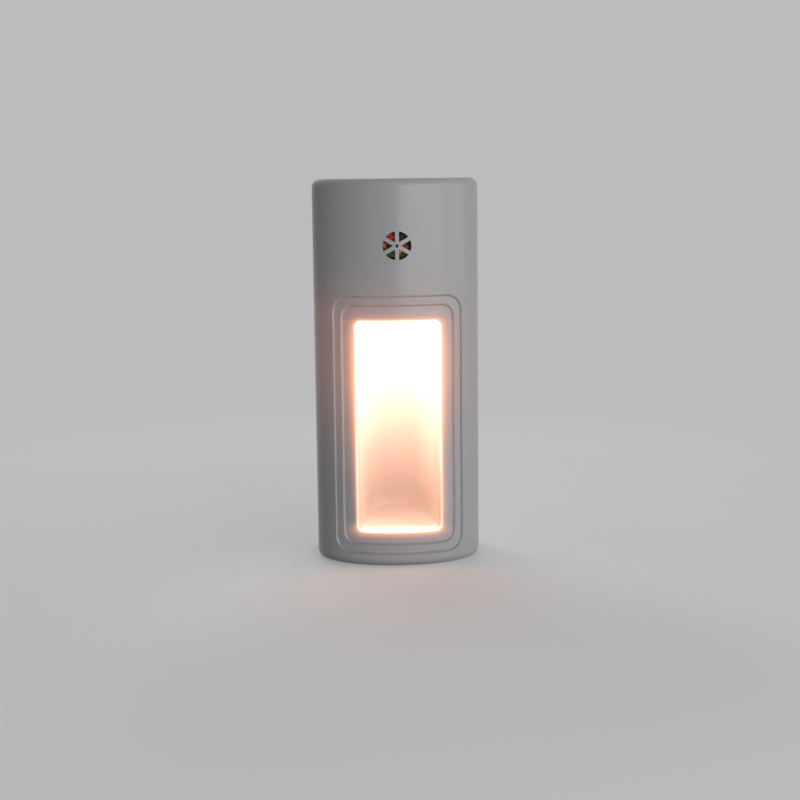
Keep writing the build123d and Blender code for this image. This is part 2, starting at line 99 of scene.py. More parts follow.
class Shader:
    """A material's node tree, with short calls for the nodes used here."""

    def __init__(self, name):
        self.material = bpy.data.materials.new(name)
        self.material.use_nodes = True
        self.tree = self.material.node_tree
        self.tree.nodes.clear()
        self.out = self.tree.nodes.new("ShaderNodeOutputMaterial")
        self.bsdf = self.tree.nodes.new("ShaderNodeBsdfPrincipled")
        self.tree.links.new(self.bsdf.outputs[0], self.out.inputs["Surface"])
        self.coordinate = self.new("ShaderNodeTexCoord")
        self.place = self.coordinate.outputs["Object"]

    def new(self, kind, **settings):
        node = self.tree.nodes.new(kind)
        for key, value in settings.items():
            setattr(node, key, value)
        return node

    def put(self, socket, value):
        """Links a socket to an input, or sets the input to a value."""
        if isinstance(value, bpy.types.NodeSocket):
            self.tree.links.new(value, socket)
        elif socket.type == "RGBA" and isinstance(value, tuple):
            socket.default_value = (*value, 1.0)
        else:
            socket.default_value = value

    def set(self, **values):
        """Puts values into the Principled shader; Base_Color stands for its input Base Color."""
        for key, value in values.items():
            self.put(self.bsdf.inputs[key.replace("_", " ")], value)

    def math(self, operation, *values, clamp=False):
        node = self.new("ShaderNodeMath", operation=operation, use_clamp=clamp)
        for socket, value in zip(node.inputs, values):
            self.put(socket, value)
        return node.outputs[0]

    def add(self, *values):
        total = values[0]
        for value in values[1:]:
            total = self.math("ADD", total, value)
        return total

    def times(self, *values):
        total = values[0]
        for value in values[1:]:
            total = self.math("MULTIPLY", total, value)
        return total

    def length(self, first, second):
        """Length of the vector with these two parts."""
        return self.math("SQRT", self.add(self.times(first, first), self.times(second, second)))

    def over(self, value, start, scale=1.0):
        """How far a value lies above start, in units of scale; never negative."""
        return self.math("MAXIMUM", self.math("DIVIDE", self.math("SUBTRACT", value, start), scale), 0.0)

    def fade(self, distance):
        """1 at zero, falling off exponentially."""
        return self.math("EXPONENT", self.math("MULTIPLY", distance, -1.0))

    def axes(self, vector=None):
        """X, Y and Z of a vector, or else of the object's own place."""
        node = self.new("ShaderNodeSeparateXYZ")
        self.put(node.inputs[0], vector or self.place)
        return node.outputs

    def facing_up(self):
        """Z of the normal: 1 where a face looks straight up."""
        return self.axes(self.coordinate.outputs["Normal"])[2]

    def scaled(self, x, y, z):
        """The object's place, stretched by a factor on each axis."""
        node = self.new("ShaderNodeVectorMath", operation="MULTIPLY")
        self.put(node.inputs[0], self.place)
        node.inputs[1].default_value = (x, y, z)
        return node.outputs[0]

    def step(self, value, low, high, to_low=0.0, to_high=1.0):
        """A smooth step between two values."""
        node = self.new("ShaderNodeMapRange", interpolation_type="SMOOTHSTEP")
        for socket, number in zip(node.inputs, (value, low, high, to_low, to_high)):
            self.put(socket, number)
        return node.outputs[0]

    def band(self, value, centre, half, soft):
        """1 within half of the centre, with soft edges."""
        away = self.math("ABSOLUTE", self.math("SUBTRACT", value, centre))
        return self.step(away, half, half + soft, 1.0, 0.0)

    def noise(self, scale, detail=2.0, rough=0.5, vector=None):
        node = self.new("ShaderNodeTexNoise")
        settings = {"Vector": vector or self.place, "Scale": scale, "Detail": detail, "Roughness": rough}
        for key, value in settings.items():
            self.put(node.inputs[key], value)
        return node.outputs["Fac"]

    def mix(self, factor, first, second):
        """The first colour at 0, the second at 1."""
        node = self.new("ShaderNodeMix", data_type="RGBA")
        self.put(node.inputs["Factor"], factor)
        colours = [socket for socket in node.inputs if socket.type == "RGBA"]
        self.put(colours[0], first)
        self.put(colours[1], second)
        return [socket for socket in node.outputs if socket.type == "RGBA"][0]

    def tint(self, colour, amount):
        """A colour multiplied by a number."""
        node = self.new("ShaderNodeVectorMath", operation="SCALE")
        self.put(node.inputs[0], colour)
        self.put(node.inputs["Scale"], amount)
        return node.outputs[0]

    def sum_colours(self, first, second):
        node = self.new("ShaderNodeVectorMath", operation="ADD")
        self.put(node.inputs[0], first)
        self.put(node.inputs[1], second)
        return node.outputs[0]

    def bump(self, height, distance, normal=None):
        node = self.new("ShaderNodeBump")
        self.put(node.inputs["Height"], height)
        self.put(node.inputs["Distance"], distance)
        if normal:
            self.put(node.inputs["Normal"], normal)
        return node.outputs["Normal"]


GRAIN_SCALE, GRAIN_DEPTH = 900.0, 0.02 * MM  # surface grain of a small part
GRAINS_PER_PATCH = 6                         # its colour varies over patches this many grains wide
COLOUR_VARY = 0.06                           # share by which the colour varies either way
ROUGH_VARY = (0.85, 1.15)                    # shares between which the roughness varies


def mottled(name, colour, rough, grain=GRAIN_SCALE, depth=GRAIN_DEPTH):
    """A finish whose colour, roughness and surface vary finely: the base of the small parts."""
    shader = Shader(name)
    patch = shader.noise(grain / GRAINS_PER_PATCH, 3.0, 0.6)
    fine = shader.noise(grain)
    dark = tuple(channel * (1 - COLOUR_VARY) for channel in colour)
    light = tuple(min(channel * (1 + COLOUR_VARY), 1.0) for channel in colour)
    shader.colour = shader.mix(patch, dark, light)
    shader.set(
        Base_Color=shader.colour,
        Roughness=shader.step(fine, *NOISE_WIDE, *(rough * share for share in ROUGH_VARY)),
        Normal=shader.bump(fine, depth),
    )
    return shader


# ---------------------------------------------------------------- glow round the window
GLOW_COLOUR = (1.0, 0.29, 0.09)              # strong light close to the window
GLOW_START, GLOW_SPAN = WINDOW_LOW + 0.5 * MM, 39 * MM   # it grows from this Z on, over this height
GLOW_POWER, GLOW_GAIN = 1.7, 1.1
GLOW_AT_TOP = (WINDOW_HIGH - 8 * MM, WINDOW_HIGH, 1.0, 0.6)          # by Z
GLOW_RIGHT = (-4 * MM, 12 * MM, 0.0, 0.33)   # by X
GLOW_RIGHT_FOOT = (WINDOW_LOW, WINDOW_LOW + 9 * MM, 0.6, 1.0)        # by Z
GLOW_UNDER = (WINDOW_LOW, WINDOW_LOW + 3 * MM, 0.75, 0.0)            # by Z
GLOW_ABOVE = (0.0, 0.6, 1.0, 0.5)            # by mm above the window
GLOW_FALL, GLOW_FALL_BELOW = 0.75, 0.4       # per mm from the outline, and more per mm under it
EDGE_COLOUR = (1.0, 0.5, 0.32)               # hot line along the outline
EDGE_LEVEL, EDGE_FALL = 0.4, 2.1
HAZE_COLOUR = (1.0, 0.34, 0.14)              # faint light over the upper part of the bow
HAZE_PEAK = (0.0, 1.5, 0.09, 0.13)           # by mm above the window
HAZE_TOP_HALF = (WINDOW_LOW + 12 * MM, WINDOW_LOW + 47 * MM)         # by Z
HAZE_FALL_BESIDE = (-5 * MM, 5 * MM, 0.02, 0.13)                     # per mm beside the window, by X
HAZE_FALL_ABOVE, HAZE_FALL_BELOW = 0.16, 0.3
GLOW_FRONT = (15 * MM, 18 * MM)              # share that the plastic takes, by how far forward it lies


def past_window(shader, x, z):
    """Distance from the window's rounded outline seen from the front, in mm; negative inside it."""
    side = shader.math("SUBTRACT", shader.math("ABSOLUTE", x), WINDOW_X - WINDOW_R)
    rise = shader.math("ABSOLUTE", shader.math("SUBTRACT", z, WINDOW_MID))
    tall = shader.math("SUBTRACT", rise, WINDOW_HALF_H - WINDOW_R)
    corner = shader.length(shader.math("MAXIMUM", side, 0.0), shader.math("MAXIMUM", tall, 0.0))
    inner = shader.math("MINIMUM", shader.math("MAXIMUM", side, tall), 0.0)
    return shader.math("DIVIDE", shader.add(corner, inner, -WINDOW_R), MM)


def window_glow(shader):
    """Light that the lens spills into the plastic round it, as a colour."""
    x, y, z = shader.axes()
    outside = shader.math("MAXIMUM", past_window(shader, x, z), 0.0)
    above = shader.over(z, WINDOW_HIGH, MM)
    below = shader.over(shader.times(z, -1.0), -WINDOW_LOW, MM)
    beside = shader.over(shader.math("ABSOLUTE", x), WINDOW_X, MM)

    climb = shader.math("MINIMUM", shader.over(z, GLOW_START, GLOW_SPAN), 1.0)
    upper = shader.times(shader.math("POWER", climb, GLOW_POWER), GLOW_GAIN)
    upper = shader.times(upper, shader.step(z, *GLOW_AT_TOP))
    right = shader.times(shader.step(x, *GLOW_RIGHT), shader.step(z, *GLOW_RIGHT_FOOT))
    under = shader.step(z, *GLOW_UNDER)
    strength = shader.math("MAXIMUM", shader.math("MAXIMUM", upper, right), under)
    strength = shader.times(strength, shader.step(above, *GLOW_ABOVE))
    fall = shader.add(shader.times(outside, GLOW_FALL), shader.times(below, GLOW_FALL_BELOW))
    near = shader.times(strength, shader.fade(fall))

    edge = shader.times(shader.fade(shader.times(outside, EDGE_FALL)), EDGE_LEVEL)

    sideways = shader.times(beside, shader.step(x, *HAZE_FALL_BESIDE))
    fall = shader.add(sideways, shader.times(above, HAZE_FALL_ABOVE), shader.times(below, HAZE_FALL_BELOW))
    haze = shader.times(shader.step(above, *HAZE_PEAK), shader.fade(fall), shader.step(z, *HAZE_TOP_HALF))

    front = shader.step(shader.times(y, -1.0), *GLOW_FRONT)
    glow = shader.tint(EDGE_COLOUR, shader.times(edge, front))
    for colour, level in ((GLOW_COLOUR, near), (HAZE_COLOUR, haze)):
        glow = shader.sum_colours(glow, shader.tint(colour, shader.times(level, front)))
    return glow


# ---------------------------------------------------------------- case
CASE_COLOUR = (0.66, 0.658, 0.682)
CASE_SHADES = (0.98, 1.02)                   # shares between which that colour drifts
CASE_SPECULAR = 0.5
DRIFT_SCALE, SMEAR_SCALE, SATIN_SCALE = 35.0, 25.0, 1400.0
COVER_ROUGH, HOUSING_ROUGH = (0.2, 0.23), (0.36, 0.42)
COVER_DEPTH, HOUSING_DEPTH = 0.006 * MM, 0.03 * MM
DULL_TOP = (0.8, 0.98, 0.0, 0.3)             # roughness added, by how far a face looks up
SOFT_EDGE_R = 0.2 * MM                       # moulded edges catch the light as if rounded by this much
SOFT_EDGE_SAMPLES = 4
HUB_Z = 7.8 * MM                             # centre of the sensor grille
HUB_HOLE_R = 0.4 * MM
HUB_HOLE = (HUB_HOLE_R, 1.25 * HUB_HOLE_R, 1.0, 0.0)     # by distance from that centre
HUB_SHADE = (0.012, 0.007, 0.009)             # painted shade darkening the dimple in the hub, as a hole there would look
LEDGE_SHADE = 0.7                             # share of the colour left where painted shade falls on the bezel's lower ledges
LEDGE_SLOPE = (0.35, 0.8)                    # by how far a face looks up
LEDGE_BAND = (WINDOW_LOW - 3 * MM, 4 * MM, 0.1 * MM)     # middle, half height and soft edge


def case_plastic(name, rough_span, depth):
    """Satin moulded ABS."""
    shader = Shader(name)
    drift = shader.noise(DRIFT_SCALE)
    satin = shader.noise(SATIN_SCALE, 3.0, 0.6)
    smear = shader.noise(SMEAR_SCALE)
    dull, pale = (tuple(channel * shade for channel in CASE_COLOUR) for shade in CASE_SHADES)
    shader.colour = shader.mix(shader.step(drift, *NOISE_MID), dull, pale)
    rough = shader.step(smear, *NOISE_WIDE, *rough_span)
    soft_edges = shader.new("ShaderNodeBevel", samples=SOFT_EDGE_SAMPLES)
    soft_edges.inputs["Radius"].default_value = SOFT_EDGE_R
    shader.set(
        Base_Color=shader.colour,
        Roughness=shader.add(rough, shader.step(shader.facing_up(), *DULL_TOP)),
        Specular_IOR_Level=CASE_SPECULAR,
        Normal=shader.bump(satin, depth, normal=soft_edges.outputs[0]),
    )
    return shader


def cover_plastic():
    """The case's plastic with painted shade in the hub's dimple and on the bezel's lower ledges, and the
    lens's glow.
    """
    shader = case_plastic("case_white_lit", COVER_ROUGH, COVER_DEPTH)
    x, _, z = shader.axes()
    from_hub = shader.length(x, shader.math("SUBTRACT", z, HUB_Z))
    # painted shade: the hub's dimple is darkened as a hole would be
    colour = shader.mix(shader.step(from_hub, *HUB_HOLE), shader.colour, HUB_SHADE)
    # painted shade on the up-facing ledges of the bezel under the window
    upward = shader.step(shader.facing_up(), *LEDGE_SLOPE)
    ledge_shade = shader.times(upward, shader.band(z, *LEDGE_BAND))
    colour = shader.tint(colour, shader.step(ledge_shade, 0.0, 1.0, 1.0, LEDGE_SHADE))
    shader.set(Base_Color=colour, Emission_Color=window_glow(shader), Emission_Strength=1.0)
    return shader.material


# ---------------------------------------------------------------- lens
# An inset is a distance in mm inside the window's outline.
LENS_COLOUR = (0.31, 0.25, 0.21)
LENS_UNLIT = (0.8, 2.6, 0.35, 1.0)           # share of that colour, by inset
LENS_LIGHT = (1.0, 0.54, 0.38)
LENS_CEILING = 2.6                           # highest multiple of that light, before clouds and specks
LENS_EDGE = (0.0, 0.3, 0.65, 1.0)            # share of the light, by inset
LENS_ROUGH = 0.42
LENS_RIPPLE_SCALE, LENS_RIPPLE = 700.0, 0.01 * MM
SCOOP_HALF_W = 10.5 * MM

BACK_ARCH = 3.4 * MM                         # its sides are as bright as its middle this much higher up
BACK_START, BACK_SPAN = WINDOW_LOW + 5.4 * MM, 33 * MM
BACK_POWER, BACK_GAIN, BACK_DIM = 1.8, 1.75, 0.48

SIDE_BLEND = (-4 * MM, 4 * MM)               # X over which the left side's values turn into the right's
THIN_START = 0.3                             # inset where the thin line starts to fade
THIN_END_LEFT = 1.15                         # and where it has gone; on the right that depends on Z
THIN_END_RIGHT = (WINDOW_LOW + 12 * MM, WINDOW_LOW + 20 * MM, 0.62, 1.1)
THIN_LEVEL = (0.45, 0.8)                     # left, right
THIN_FADE = (WINDOW_LOW + 18 * MM, WINDOW_LOW + 30 * MM, 1.0, 0.3)   # by Z
BROAD_INSET = (0.4, 3.5, 1.0, 0.0)
BROAD_LEVEL = (0.36, 0.18)                   # left, right
BROAD_FADE = (WINDOW_LOW + 8 * MM, WINDOW_LOW + 26 * MM, 1.0, 0.15)  # by Z, with more at the foot
BROAD_FOOT = (WINDOW_LOW + 2 * MM, WINDOW_LOW + 4 * MM, 0.3, 0.0)

FOOT_STRIP = (WINDOW_LOW + 0.85 * MM, WINDOW_LOW + 1.25 * MM, 1.5, 0.0)   # along the lower edge, by Z
CORNER_X, CORNER_INSET = (8.6 * MM, 9.6 * MM), (1.2, 2.2, 1.0, 0.0)
CORNER_Z = (WINDOW_LOW + 1.2 * MM, WINDOW_LOW + 2.6 * MM, 0.4, 0.0)

LOWER_WALL = (0.38, 0.95)                    # by how far a face looks up
CLIMB_ARCH = 0.25                            # at its sides the wall's light starts this much nearer the ring
CLIMB_GAIN, CLIMB_RIM = 0.6, (0.6, 1.0, 0.0, 0.9)
SHALLOW_GAIN = 0.1
RIGHT_WALL_X, RIGHT_WALL_INSET = (3 * MM, 8 * MM, 0.0, 0.14), (1.5, 3.0)
RIGHT_WALL_Z = (WINDOW_LOW + 6 * MM, WINDOW_LOW + 14 * MM, 0.3, 1.0)
LIFT = (WINDOW_LOW + 5.5 * MM, WINDOW_LOW + 9.5 * MM, 0.07, 0.0)     # low in the scoop, by the arched Z

SPECK_SCALE, SPECK = 120.0, (0.02, 0.045, 0.16, 0.0)
CLOUD_SCALE, CLOUD = 160.0, (0.98, 1.02)


def lens_depth(shader, x, y):
    """1 at the lens's front ring, falling to 0 at the back of its scoop."""
    ratio = shader.math("DIVIDE", x, HALF_WIDTH - RIM_INSET)
    curve = shader.math("SQRT", shader.math("SUBTRACT", 1.0, shader.times(ratio, ratio)))
    crown = shader.add(shader.times(curve, -(BOW - RIM_INSET)), SHOULDER_Y)
    return shader.math("SUBTRACT", 1.0, shader.over(y, crown, SCOOP_DEPTH), clamp=True)


def rim_lines(shader, x, z, inset):
    """A thin bright line along the window's rim with a broad one behind it."""
    thin_end = shader.step(x, *SIDE_BLEND, THIN_END_LEFT, shader.step(z, *THIN_END_RIGHT))
    thin = shader.times(
        shader.step(inset, THIN_START, thin_end, 1.0, 0.0),
        shader.step(x, *SIDE_BLEND, *THIN_LEVEL),
        shader.step(z, *THIN_FADE),
    )
    broad = shader.times(
        shader.step(inset, *BROAD_INSET),
        shader.step(x, *SIDE_BLEND, *BROAD_LEVEL),
        shader.add(shader.step(z, *BROAD_FADE), shader.step(z, *BROAD_FOOT)),
    )
    return shader.add(thin, broad)


def low_corners(shader, x, z, inset):
    """Light in the window's two lower corners."""
    return shader.times(
        shader.step(z, *CORNER_Z),
        shader.step(shader.math("ABSOLUTE", x), *CORNER_X),
        shader.step(inset, *CORNER_INSET),
    )


def scoop_walls(shader, x, y, z, inset, across, arched):
    """Light on the walls between the lens's front ring and the back of its scoop."""
    shallow = lens_depth(shader, x, y)
    climb = shader.over(shallow, shader.times(across, across, CLIMB_ARCH))
    rise = shader.add(shader.times(climb, CLIMB_GAIN), shader.step(climb, *CLIMB_RIM))
    lower_wall = shader.times(shader.step(shader.facing_up(), *LOWER_WALL), rise)
    right_wall = shader.times(
        shader.step(x, *RIGHT_WALL_X),
        shader.step(inset, *RIGHT_WALL_INSET),
        shader.step(z, *RIGHT_WALL_Z),
    )
    return shader.add(lower_wall, shader.times(shallow, SHALLOW_GAIN), right_wall, shader.step(arched, *LIFT))


def lens_level(shader, inset):
    """How many times LENS_LIGHT each place of the lens shines."""
    x, y, z = shader.axes()
    across = shader.math("DIVIDE", x, SCOOP_HALF_W)
    arched = shader.add(z, shader.times(across, across, BACK_ARCH))
    near_leds = shader.over(arched, BACK_START, BACK_SPAN)
    back = shader.add(shader.times(shader.math("POWER", near_leds, BACK_POWER), BACK_GAIN), BACK_DIM)
    level = shader.add(
        back,
        rim_lines(shader, x, z, inset),
        shader.step(z, *FOOT_STRIP),
        low_corners(shader, x, z, inset),
        scoop_walls(shader, x, y, z, inset, across, arched),
    )
    level = shader.times(shader.math("MINIMUM", level, LENS_CEILING), shader.step(inset, *LENS_EDGE))
    cell = shader.new("ShaderNodeTexVoronoi", feature="F1")
    shader.put(cell.inputs["Vector"], shader.place)
    shader.put(cell.inputs["Scale"], SPECK_SCALE)
    speck = shader.step(cell.outputs["Distance"], *SPECK)
    cloud = shader.step(shader.noise(CLOUD_SCALE, 3.0), *NOISE_MID, *CLOUD)
    return shader.add(shader.times(level, cloud), speck)


def lens_milk():
    """Milky lens: white-hot before the LEDs, peach below, with a bright ring and lower wall."""
    shader = Shader("lens_milk")
    x, _, z = shader.axes()
    inset = shader.math("MAXIMUM", shader.times(past_window(shader, x, z), -1.0), 0.0)
    shader.set(
        Base_Color=shader.tint(LENS_COLOUR, shader.step(inset, *LENS_UNLIT)),
        Roughness=LENS_ROUGH,
        Emission_Color=shader.tint(LENS_LIGHT, lens_level(shader, inset)),
        Emission_Strength=1.0,
        Normal=shader.bump(shader.noise(LENS_RIPPLE_SCALE), LENS_RIPPLE),
    )
    return shader.material


# ---------------------------------------------------------------- photocell
CELL_DARK, CELL_OLIVE = (0.014, 0.01, 0.005), (0.085, 0.09, 0.015)
CELL_LOWER = (cell_middle.z - 1.3 * MM, cell_middle.z, 1.0, 0.0)     # the olive part, by Z
CELL_LIGHTS = (                              # mm right of and above the middle, radius in mm, colour
    (-1.6, 2.3, 1.25, (0.8, 0.05, 0.045)),
    (2.15, -0.4, 1.05, (0.5, 0.02, 0.045)),
    (-3.2, 0.1, 0.85, (0.85, 0.2, 0.035)),
    (0.95, -1.65, 0.55, (0.6, 0.33, 0.1)),
)
CELL_LIGHT_CORE = 0.3                        # share of a light's radius that has its full colour
CELL_SHADE_SCALE, CELL_SHADE = 1100.0, (0.35, 0.65, 0.45, 1.15)
CELL_ROUGH, CELL_SPECULAR, CELL_SHINE = 0.3, 0.1, 0.45

TRACK_COLOUR, TRACK_ROUGH = (0.03, 0.014, 0.01), 0.3
TRACK_W = 0.22 * MM
TRACK_PITCH = 0.62 * MM
TRACK_LEGS = 9
TRACK_REACH = 2.5 * MM                       # half length of the middle legs
TRACK_CIRCLE = 3.1 * MM                      # the outer legs end on this circle
TRACK_PROUD = 0.04 * MM


def cell_face():
    """Olive face of the sensor with red and orange spots, part its own colours and part painted highlights in
    its clear coat; the face also glows faintly as painted light.
    """
    shader = Shader("cell_ceramic")
    x, _, z = shader.axes()
    colour = shader.mix(shader.step(z, *CELL_LOWER), CELL_DARK, CELL_OLIVE)
    # spots that are part the sensor's own colours and part painted highlights
    for right, up, radius, light in CELL_LIGHTS:
        side = shader.math("SUBTRACT", x, cell_middle.x + right * MM)
        rise = shader.math("SUBTRACT", z, cell_middle.z + up * MM)
        away = shader.length(side, rise)
        spot = shader.step(away, radius * CELL_LIGHT_CORE * MM, radius * MM, 1.0, 0.0)
        colour = shader.mix(spot, colour, light)
    colour = shader.tint(colour, shader.step(shader.noise(CELL_SHADE_SCALE), *CELL_SHADE))
    shader.set(
        Base_Color=colour,
        Roughness=CELL_ROUGH,
        Specular_IOR_Level=CELL_SPECULAR,
        # painted light: the face glows faintly in its own colours
        Emission_Color=colour,
        Emission_Strength=CELL_SHINE,
    )
    return shader.material


def ribbon(points, width, y_front, y_back):
    """A flat mitred strip along points of the XZ plane, as a mesh."""
    vertices, faces = [], []
    for index, point in enumerate(points):
        previous = max(index - 1, 0)
        ends = zip(points[previous:], points[previous + 1:index + 2])
        sides = [(after - before).normalized().orthogonal() for before, after in ends]
        mitre = sum(sides, Vector((0, 0)))
        mitre *= width / 2 / mitre.dot(sides[0])
        for sign, y in ((-1, y_front), (1, y_front), (1, y_back), (-1, y_back)):
            vertices.append((point.x + sign * mitre.x, y, point.y + sign * mitre.y))
    for first in range(0, len(vertices) - 4, 4):
        for corner in range(4):
            following = (corner + 1) % 4
            faces.append((first + corner, first + following, first + following + 4, first + corner + 4))
    last = len(vertices) - 4
    faces += [(3, 2, 1, 0), (last, last + 1, last + 2, last + 3)]
    mesh = bpy.data.meshes.new("ribbon")
    mesh.from_pydata(vertices, [], faces)
    return mesh


def add_piece(name, mesh, material):
    """Adds a mesh that moves with the lamp's one body."""
    mesh.materials.append(material)
    piece = bpy.data.objects.new(name, mesh)
    bpy.context.scene.collection.objects.link(piece)
    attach(piece, BODY)


def cell_track():
    """The serpentine electrode on the sensor's face."""
    points = []
    for index in range(TRACK_LEGS):
        x = (index - (TRACK_LEGS - 1) / 2) * TRACK_PITCH
        reach = min(TRACK_REACH, sqrt(TRACK_CIRCLE ** 2 - x ** 2))
        turn = 1 if index % 2 == 0 else -1
        for end in (-turn, turn):
            points.append(Vector((cell_middle.x + x, cell_middle.z + end * reach)))
    mesh = ribbon(points, TRACK_W, cell_low.y - TRACK_PROUD, cell_low.y + TRACK_PROUD)
    add_piece("photocell_track", mesh, mottled("cell_electrode", TRACK_COLOUR, TRACK_ROUGH).material)


# ---------------------------------------------------------------- metals, boards and parts
TINNED = (0.72, 0.72, 0.72)
BROWN, BLACK, RED, YELLOW = (0.12, 0.04, 0.015), (0.01, 0.01, 0.01), (0.5, 0.02, 0.02), (0.75, 0.55, 0.03)
GREEN, VIOLET, GOLD, SILVER = (0.03, 0.2, 0.05), (0.16, 0.04, 0.3), (0.5, 0.33, 0.08), (0.55, 0.55, 0.55)
RESISTOR_TAN = (0.48, 0.3, 0.14)

METALS = {                                   # finish: colour, roughness, squeeze on X, Y and Z, nodes
    "screw_steel": (
        (0.62, 0.62, 0.64), 0.3, (900.0, 900.0, 900.0),
        ("case_screws", "tray_screws", "retainer_screws", "board_screws"),
    ),
    "blade_nickel": ((0.76, 0.73, 0.66), 0.26, (2600.0, 130.0, 2600.0), ("blade_left", "blade_right")),
    "lead_tin": ((0.74, 0.74, 0.74), 0.25, (1500.0, 200.0, 1500.0), ("photocell_leads",)),
}
MOULDED = {                                  # finish: colour, roughness, nodes
    "tray_white": ((0.8, 0.8, 0.77), 0.6, ("light_tray",)),
    "board_white": ((0.82, 0.82, 0.78), 0.4, ("led_board",)),
    "wire_red": ((0.6, 0.035, 0.03), 0.32, ("led_wire_positive", "live_wire")),
    "wire_black": ((0.02, 0.02, 0.022), 0.35, ("led_wire_negative",)),
    "wire_white": ((0.7, 0.7, 0.66), 0.35, ("neutral_wire",)),
    "retainer_grey": ((0.1, 0.1, 0.105), 0.5, ("blade_retainer",)),
    "moulding_black": ((0.015, 0.015, 0.015), 0.45, ("transistor",)),
}
AXIAL = {                                    # node: finish, colour, roughness, body length in mm, coat, bands
    "rectifier_diodes": ("diode_black", (0.018, 0.018, 0.018), 0.4, 4.4, 0.0, ((0.72, SILVER),)),
    "zener_diode": ("diode_glass", (0.65, 0.16, 0.03), 0.15, 3.6, 0.6, ((0.7, BLACK),)),
    "fuse_resistor": (
        "resistor_grey", (0.2, 0.27, 0.25), 0.5, 9.0, 0.0,
        ((-0.62, BROWN), (-0.24, BLACK), (0.0, BLACK), (0.62, GOLD)),
    ),
    "bleeder_resistor": (
        "resistor_tan", RESISTOR_TAN, 0.4, 5.8, 0.0,
        ((-0.72, BROWN), (-0.3, BLACK), (0.0, GREEN), (0.72, GOLD)),
    ),
    "bias_resistors": (
        "resistor_tan_small", RESISTOR_TAN, 0.4, 5.8, 0.0,
        ((-0.72, YELLOW), (-0.3, VIOLET), (0.0, RED), (0.72, GOLD)),
    ),
}

LINE_DEPTH = 0.01 * MM                       # of the lines that rolling leaves in metal
LINE_SPAN, LINE_ROUGH_VARY = (0.25, 0.75), (0.7, 1.3)
STAIN_SCALE, STAIN, STAIN_SHADE = 260.0, (0.35, 0.75, 0.0, 0.6), 0.72

BOARD_MASK, BOARD_COPPER, BOARD_ROUGH = (0.045, 0.11, 0.02), (0.16, 0.24, 0.05), 0.35
BOARD_GRID = {"Scale": 260.0, "Mortar Size": 0.07, "Mortar Smooth": 0.2}
BOARD_DEPTH = 0.03 * MM

FILM_RED, FILM_ROUGH = (0.45, 0.02, 0.014), 0.22
FILM_GRAIN, FILM_DEPTH = 500.0, 0.05 * MM

BAND_HALF, BAND_SOFT = 0.07, 0.02            # of a painted band, as shares of the half body
LEAD_START = (1.0, 1.02)                     # in the same shares

CAN_COLOUR, CAN_STRIPE, CAN_ROUGH = (0.012, 0.02, 0.09), (0.5, 0.52, 0.55), 0.3
CAN_STRIPE_X, CAN_STRIPE_Z = (0.6, 0.64), (0.36, 0.4)    # from its axis, as shares of the can's radius
CAN_TOP_R, CAN_LEAD_R = (0.8, 0.84), (0.55, 0.6)
CAN_TOP_Y = (0.35 * MM, 0.4 * MM)            # past its front
CAN_LEAD_Y = (3.5 * MM, 3.0 * MM)            # short of its leads' tips

LED_X, LED_TOP_Z, LED_PITCH = 4.5 * MM, -17.5 * MM, 9 * MM
LED_ROUND = (1.15 * MM, 1.25 * MM, 1.0, 0.0)
LED_WHITE, LED_ROUGH = (0.82, 0.82, 0.78), 0.4
LED_PHOSPHOR, LED_LIGHT, LED_LEVEL = (0.9, 0.55, 0.06), (1.0, 0.72, 0.4), 1.5


def brushed(name, colour, rough, along):
    """Rolled metal with fine lines along one axis: the factors squeeze the noise on the other two."""
    shader = Shader(name)
    lines = shader.noise(1.0, 4.0, 0.65, shader.scaled(*along))
    stain = shader.noise(STAIN_SCALE, 4.0, 0.6)
    dull = tuple(channel * STAIN_SHADE for channel in colour)
    shader.set(
        Base_Color=shader.mix(shader.step(stain, *STAIN), colour, dull),
        Metallic=1.0,
        Roughness=shader.step(lines, *LINE_SPAN, *(rough * share for share in LINE_ROUGH_VARY)),
        Normal=shader.bump(lines, LINE_DEPTH),
    )
    return shader.material


def circuit_board():
    """Solder mask over copper tracks that run on a coarse grid."""
    shader = mottled("board_green", BOARD_MASK, BOARD_ROUGH)
    brick = shader.new("ShaderNodeTexBrick", offset=0.5)
    turned = shader.new("ShaderNodeMapping")
    shader.put(turned.inputs["Vector"], shader.place)
    turned.inputs["Rotation"].default_value = (radians(90), 0, 0)
    shader.put(brick.inputs["Vector"], turned.outputs[0])
    for key, value in BOARD_GRID.items():
        shader.put(brick.inputs[key], value)
    track = brick.outputs["Fac"]
    shader.set(
        Base_Color=shader.mix(track, shader.colour, BOARD_COPPER),
        Normal=shader.bump(track, BOARD_DEPTH),
    )
    return shader.material


def axial_part(node, name, colour, rough, body_length, coat, bands):
    """An axial component along X: painted bands at shares of its half length, tinned leads past its ends."""
    shader = mottled(name, colour, rough)
    low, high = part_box(node)
    off_middle = shader.math("SUBTRACT", shader.axes()[0], (low.x + high.x) / 2)
    along = shader.math("DIVIDE", off_middle, body_length * MM / 2)
    painted = shader.colour
    for share, paint in bands:
        painted = shader.mix(shader.band(along, share, BAND_HALF, BAND_SOFT), painted, paint)
    lead = shader.step(shader.math("ABSOLUTE", along), *LEAD_START)
    shader.set(Base_Color=shader.mix(lead, painted, TINNED), Metallic=lead, Coat_Weight=coat)
    return shader.material


